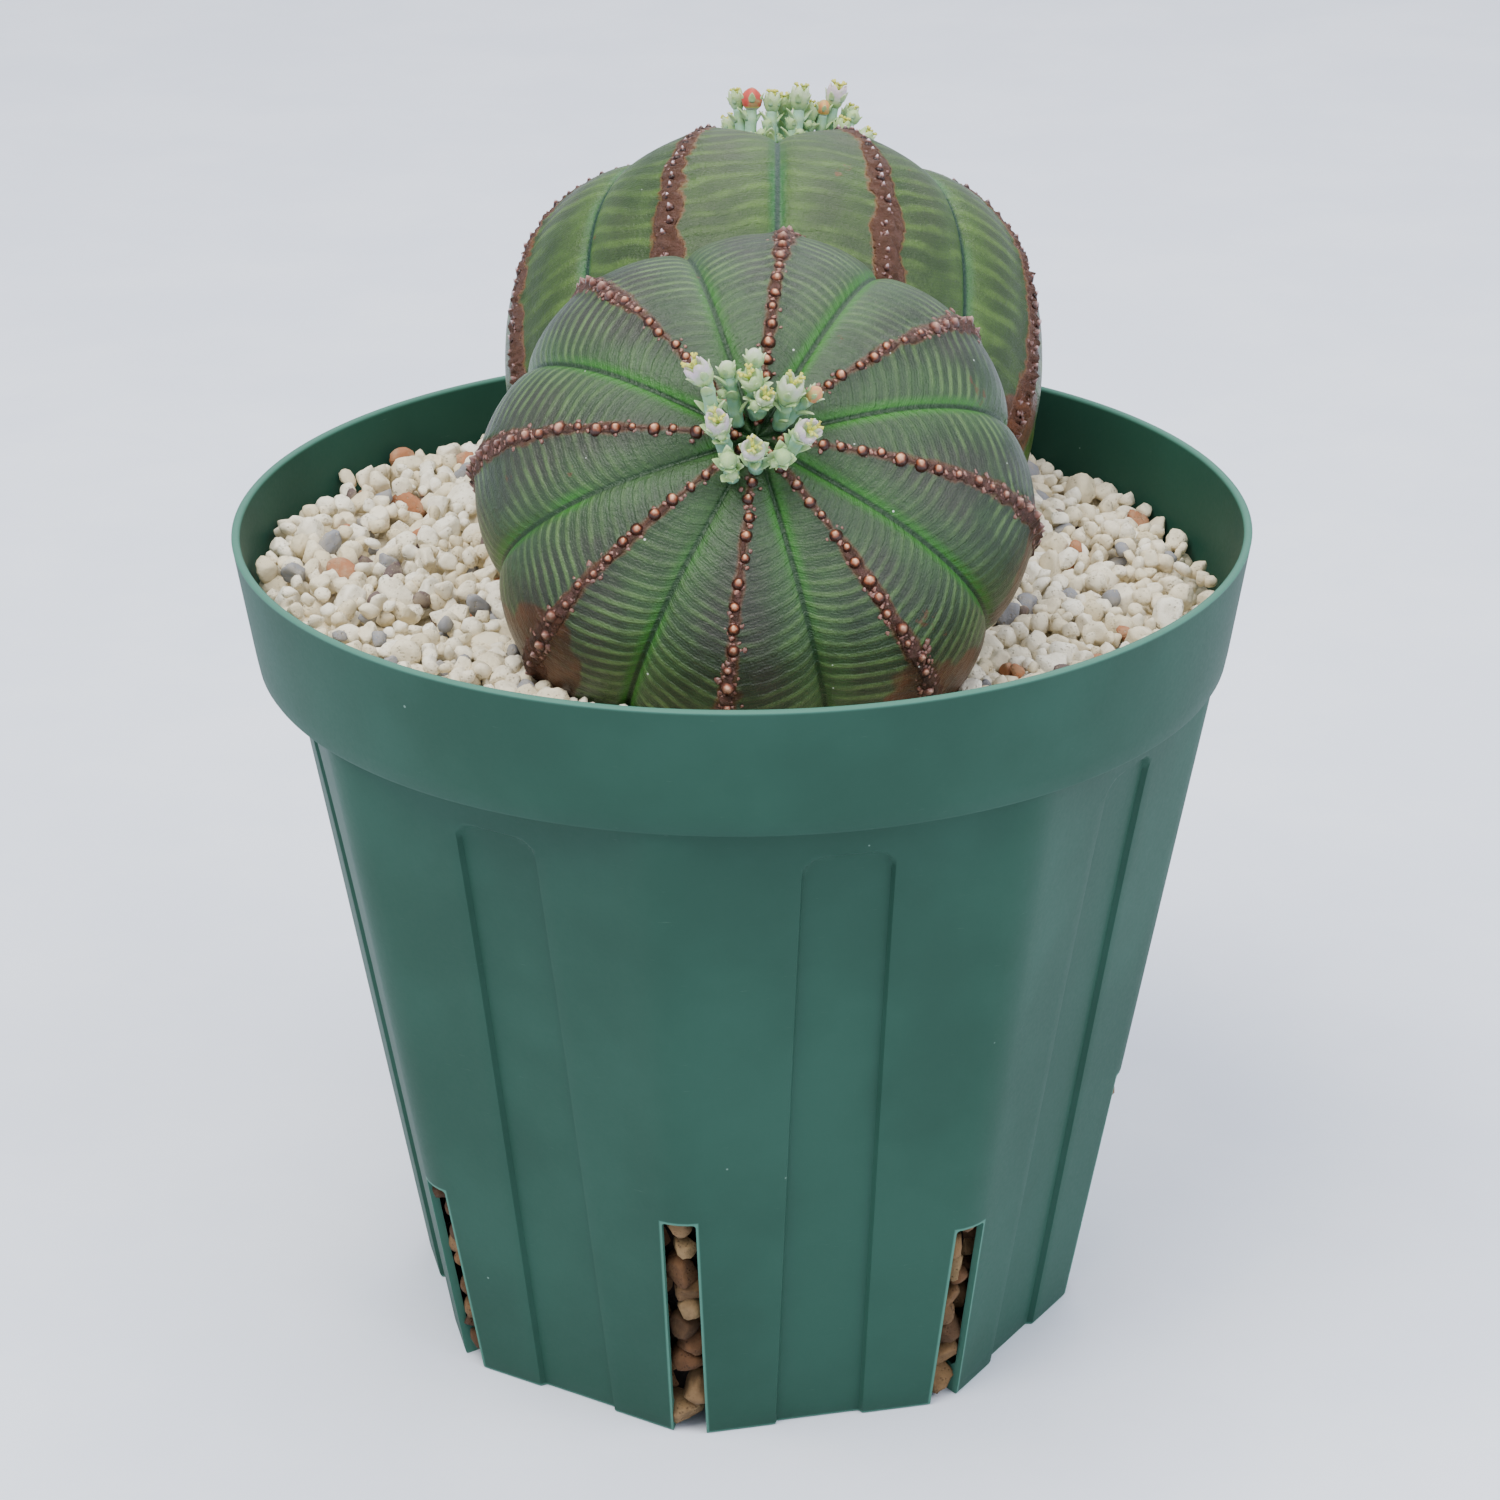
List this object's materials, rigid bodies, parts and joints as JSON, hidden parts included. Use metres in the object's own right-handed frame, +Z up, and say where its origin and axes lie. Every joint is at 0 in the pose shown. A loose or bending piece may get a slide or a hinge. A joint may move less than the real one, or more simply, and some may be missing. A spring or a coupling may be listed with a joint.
{
  "type": "baseball plant",
  "caption": "Ball-shaped eight-ribbed succulent stems with beaded ribs and small flower sprays, bedded in pale gravel in a round-rimmed eight-sided plastic slit pot",
  "frame": {"origin": "middle of the pot's base, on the surface it stands on", "axes": "+Z up; -Y is the front, the side that the nearer stem leans towards; +X to the right seen from the front"},
  "size_m": [0.15, 0.15, 0.1768],
  "materials": {
    "pot_plastic": "satin",
    "coarse_grit": "matte",
    "pale_gravel": "matte",
    "stem_skin": "satin",
    "flower_green": "matte"
  },
  "bodies": {
    "root": {"pot": "pot_plastic", "soil": "coarse_grit", "top_gravel": "pale_gravel", "front_stem": "stem_skin", "rear_stem": "stem_skin", "front_spray_1": "flower_green", "front_spray_2": "flower_green", "front_spray_3": "flower_green", "front_spray_4": "flower_green", "front_spray_5": "flower_green", "front_spray_6": "flower_green", "front_spray_7": "flower_green", "rear_spray_1": "flower_green", "rear_spray_2": "flower_green", "rear_spray_3": "flower_green", "rear_spray_4": "flower_green", "rear_spray_5": "flower_green", "rear_spray_6": "flower_green"}
  },
  "joints": []
}
